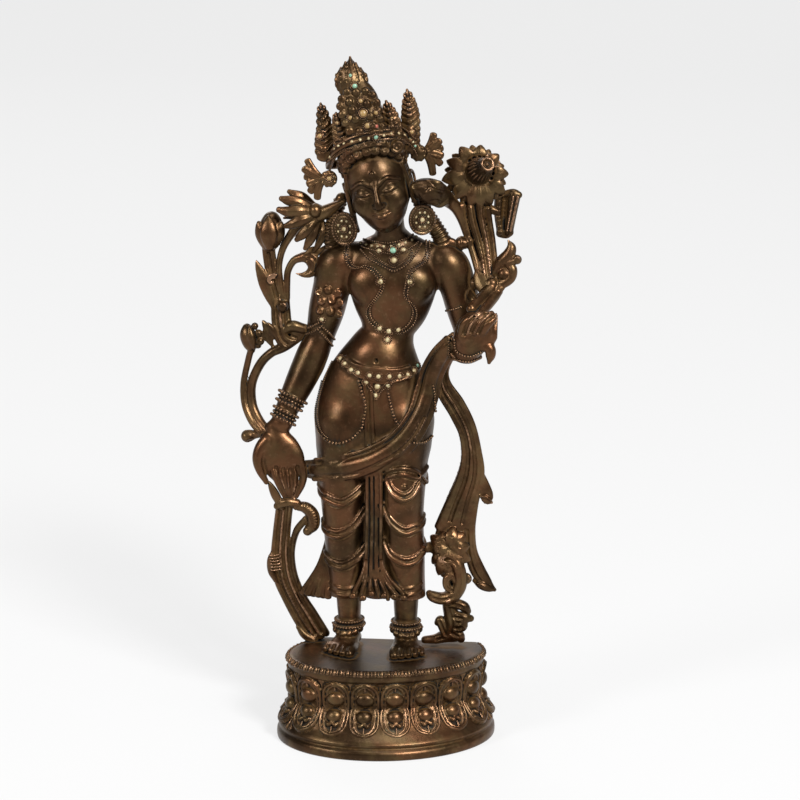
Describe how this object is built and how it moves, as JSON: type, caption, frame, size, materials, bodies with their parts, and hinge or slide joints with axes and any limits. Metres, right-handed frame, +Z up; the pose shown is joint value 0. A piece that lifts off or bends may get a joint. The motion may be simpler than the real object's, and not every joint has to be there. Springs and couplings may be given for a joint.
{
  "type": "manjushri figure",
  "caption": "Standing crowned bodhisattva in cast bronze with two lotus plants, a book and a hanging scarf, built together with its D-shaped double lotus plinth.",
  "frame": {"origin": "on the underside of the plinth, below the middle between the figure's heels; the ellipse that the plinth's outline is cut from has its centre 2.5 mm towards -X and 3 mm towards -Y of it", "axes": "+Z up, -Y towards the front of the figure, +X towards the figure's left hand"},
  "size_m": [0.1714, 0.0787, 0.4157],
  "materials": {
    "bronze": "dark brown patina, semi-gloss, worn edges, golden dirt in the recesses",
    "base_bronze": "dark brown patina with golden-brown deposits between the petals",
    "stone_cream": "worn polished cream and beige inlay",
    "stone_turquoise": "worn polished green-blue inlay"
  },
  "bodies": {
    "root": {"figure": "bronze", "lotus_base": "base_bronze", "stone_crown_front": "stone_turquoise", "stone_ear_right": "stone_cream", "stone_ear_left": "stone_cream", "stone_collar_centre": "stone_turquoise", "stone_chain_drop": "stone_cream", "stone_belt_3": "stone_cream"}
  },
  "joints": []
}
